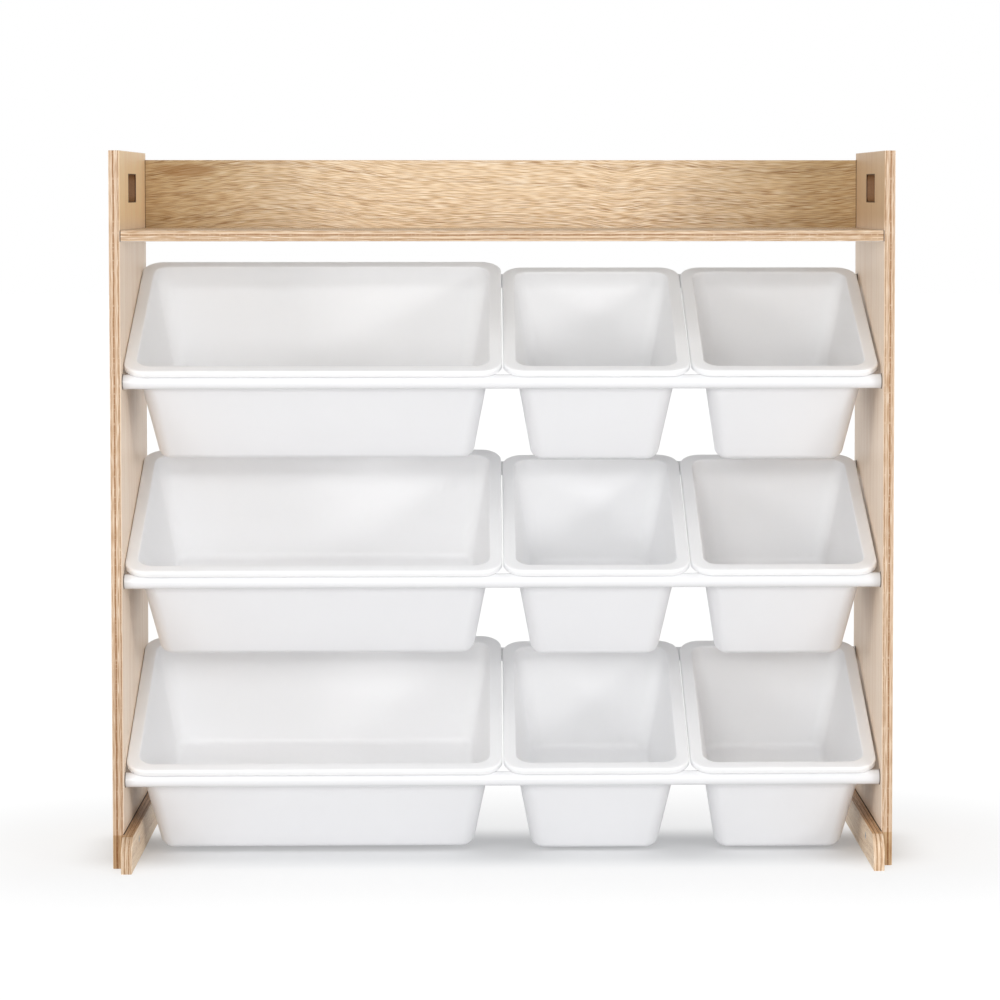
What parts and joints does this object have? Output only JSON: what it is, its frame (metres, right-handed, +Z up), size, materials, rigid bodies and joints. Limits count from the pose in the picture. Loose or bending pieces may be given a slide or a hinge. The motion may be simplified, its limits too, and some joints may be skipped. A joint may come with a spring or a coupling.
{
  "type": "storage rack",
  "caption": "Toy storage rack: wooden side boards with hand slots, a tray top and tiers of white rods that carry open plastic bins, leaning forward.",
  "frame": {"origin": "on the floor, under the middle of the rack's own box", "axes": "+X across the rack to the viewer's right, +Y from its front to its back, +Z up"},
  "size_m": [0.857, 0.311, 0.7869],
  "materials": {
    "side_board": "light wood laminate, satin",
    "shelf_board": "light wood laminate, satin",
    "back_board": "light wood laminate with a bold grain, satin",
    "foot_board": "light wood laminate, satin",
    "rod_enamel": "white gloss powder coat",
    "bin_plastic": "white moulded polypropylene, satin",
    "plug_plastic": "white moulded",
    "zinc_steel": "bright zinc plate"
  },
  "bodies": {
    "rack": {"left_side_panel": "side_board", "right_side_panel": "side_board", "top_shelf": "shelf_board", "back_board": "back_board", "left_foot": "foot_board", "right_foot": "foot_board", "front_rod_top": "rod_enamel", "front_rod_middle": "rod_enamel", "front_rod_bottom": "rod_enamel", "rear_rod_top": "rod_enamel", "rear_rod_middle": "rod_enamel", "rear_rod_bottom": "rod_enamel", "rod_end_plugs": "plug_plastic", "rod_bolts": "zinc_steel", "shelf_screws": "zinc_steel", "back_board_screws": "zinc_steel", "foot_screws": "zinc_steel"},
    "large_bin_top": {"large_bin_top": "bin_plastic"},
    "centre_bin_top": {"centre_bin_top": "bin_plastic"},
    "right_bin_top": {"right_bin_top": "bin_plastic"},
    "large_bin_middle": {"large_bin_middle": "bin_plastic"},
    "centre_bin_middle": {"centre_bin_middle": "bin_plastic"},
    "right_bin_middle": {"right_bin_middle": "bin_plastic"},
    "large_bin_bottom": {"large_bin_bottom": "bin_plastic"},
    "centre_bin_bottom": {"centre_bin_bottom": "bin_plastic"},
    "right_bin_bottom": {"right_bin_bottom": "bin_plastic"}
  },
  "joints": [
    {"name": "large_bin_top_tip", "type": "hinge", "parent": "rack", "child": "large_bin_top", "pos_m": [-0.2085, 0.1355, 0.63788], "axis": [-1, 0, 0], "range_deg": [0, 15]},
    {"name": "centre_bin_top_tip", "type": "hinge", "parent": "rack", "child": "centre_bin_top", "pos_m": [0.10325, 0.1355, 0.63788], "axis": [-1, 0, 0], "range_deg": [0, 15]},
    {"name": "right_bin_top_tip", "type": "hinge", "parent": "rack", "child": "right_bin_top", "pos_m": [0.3105, 0.1355, 0.63788], "axis": [-1, 0, 0], "range_deg": [0, 15]},
    {"name": "large_bin_middle_tip", "type": "hinge", "parent": "rack", "child": "large_bin_middle", "pos_m": [-0.2085, 0.1355, 0.41838], "axis": [-1, 0, 0], "range_deg": [0, 15]},
    {"name": "centre_bin_middle_tip", "type": "hinge", "parent": "rack", "child": "centre_bin_middle", "pos_m": [0.10325, 0.1355, 0.41838], "axis": [-1, 0, 0], "range_deg": [0, 15]},
    {"name": "right_bin_middle_tip", "type": "hinge", "parent": "rack", "child": "right_bin_middle", "pos_m": [0.3105, 0.1355, 0.41838], "axis": [-1, 0, 0], "range_deg": [0, 15]},
    {"name": "large_bin_bottom_tip", "type": "hinge", "parent": "rack", "child": "large_bin_bottom", "pos_m": [-0.2085, 0.1355, 0.19888], "axis": [-1, 0, 0], "range_deg": [0, 15]},
    {"name": "centre_bin_bottom_tip", "type": "hinge", "parent": "rack", "child": "centre_bin_bottom", "pos_m": [0.10325, 0.1355, 0.19888], "axis": [-1, 0, 0], "range_deg": [0, 15]},
    {"name": "right_bin_bottom_tip", "type": "hinge", "parent": "rack", "child": "right_bin_bottom", "pos_m": [0.3105, 0.1355, 0.19888], "axis": [-1, 0, 0], "range_deg": [0, 15]}
  ]
}
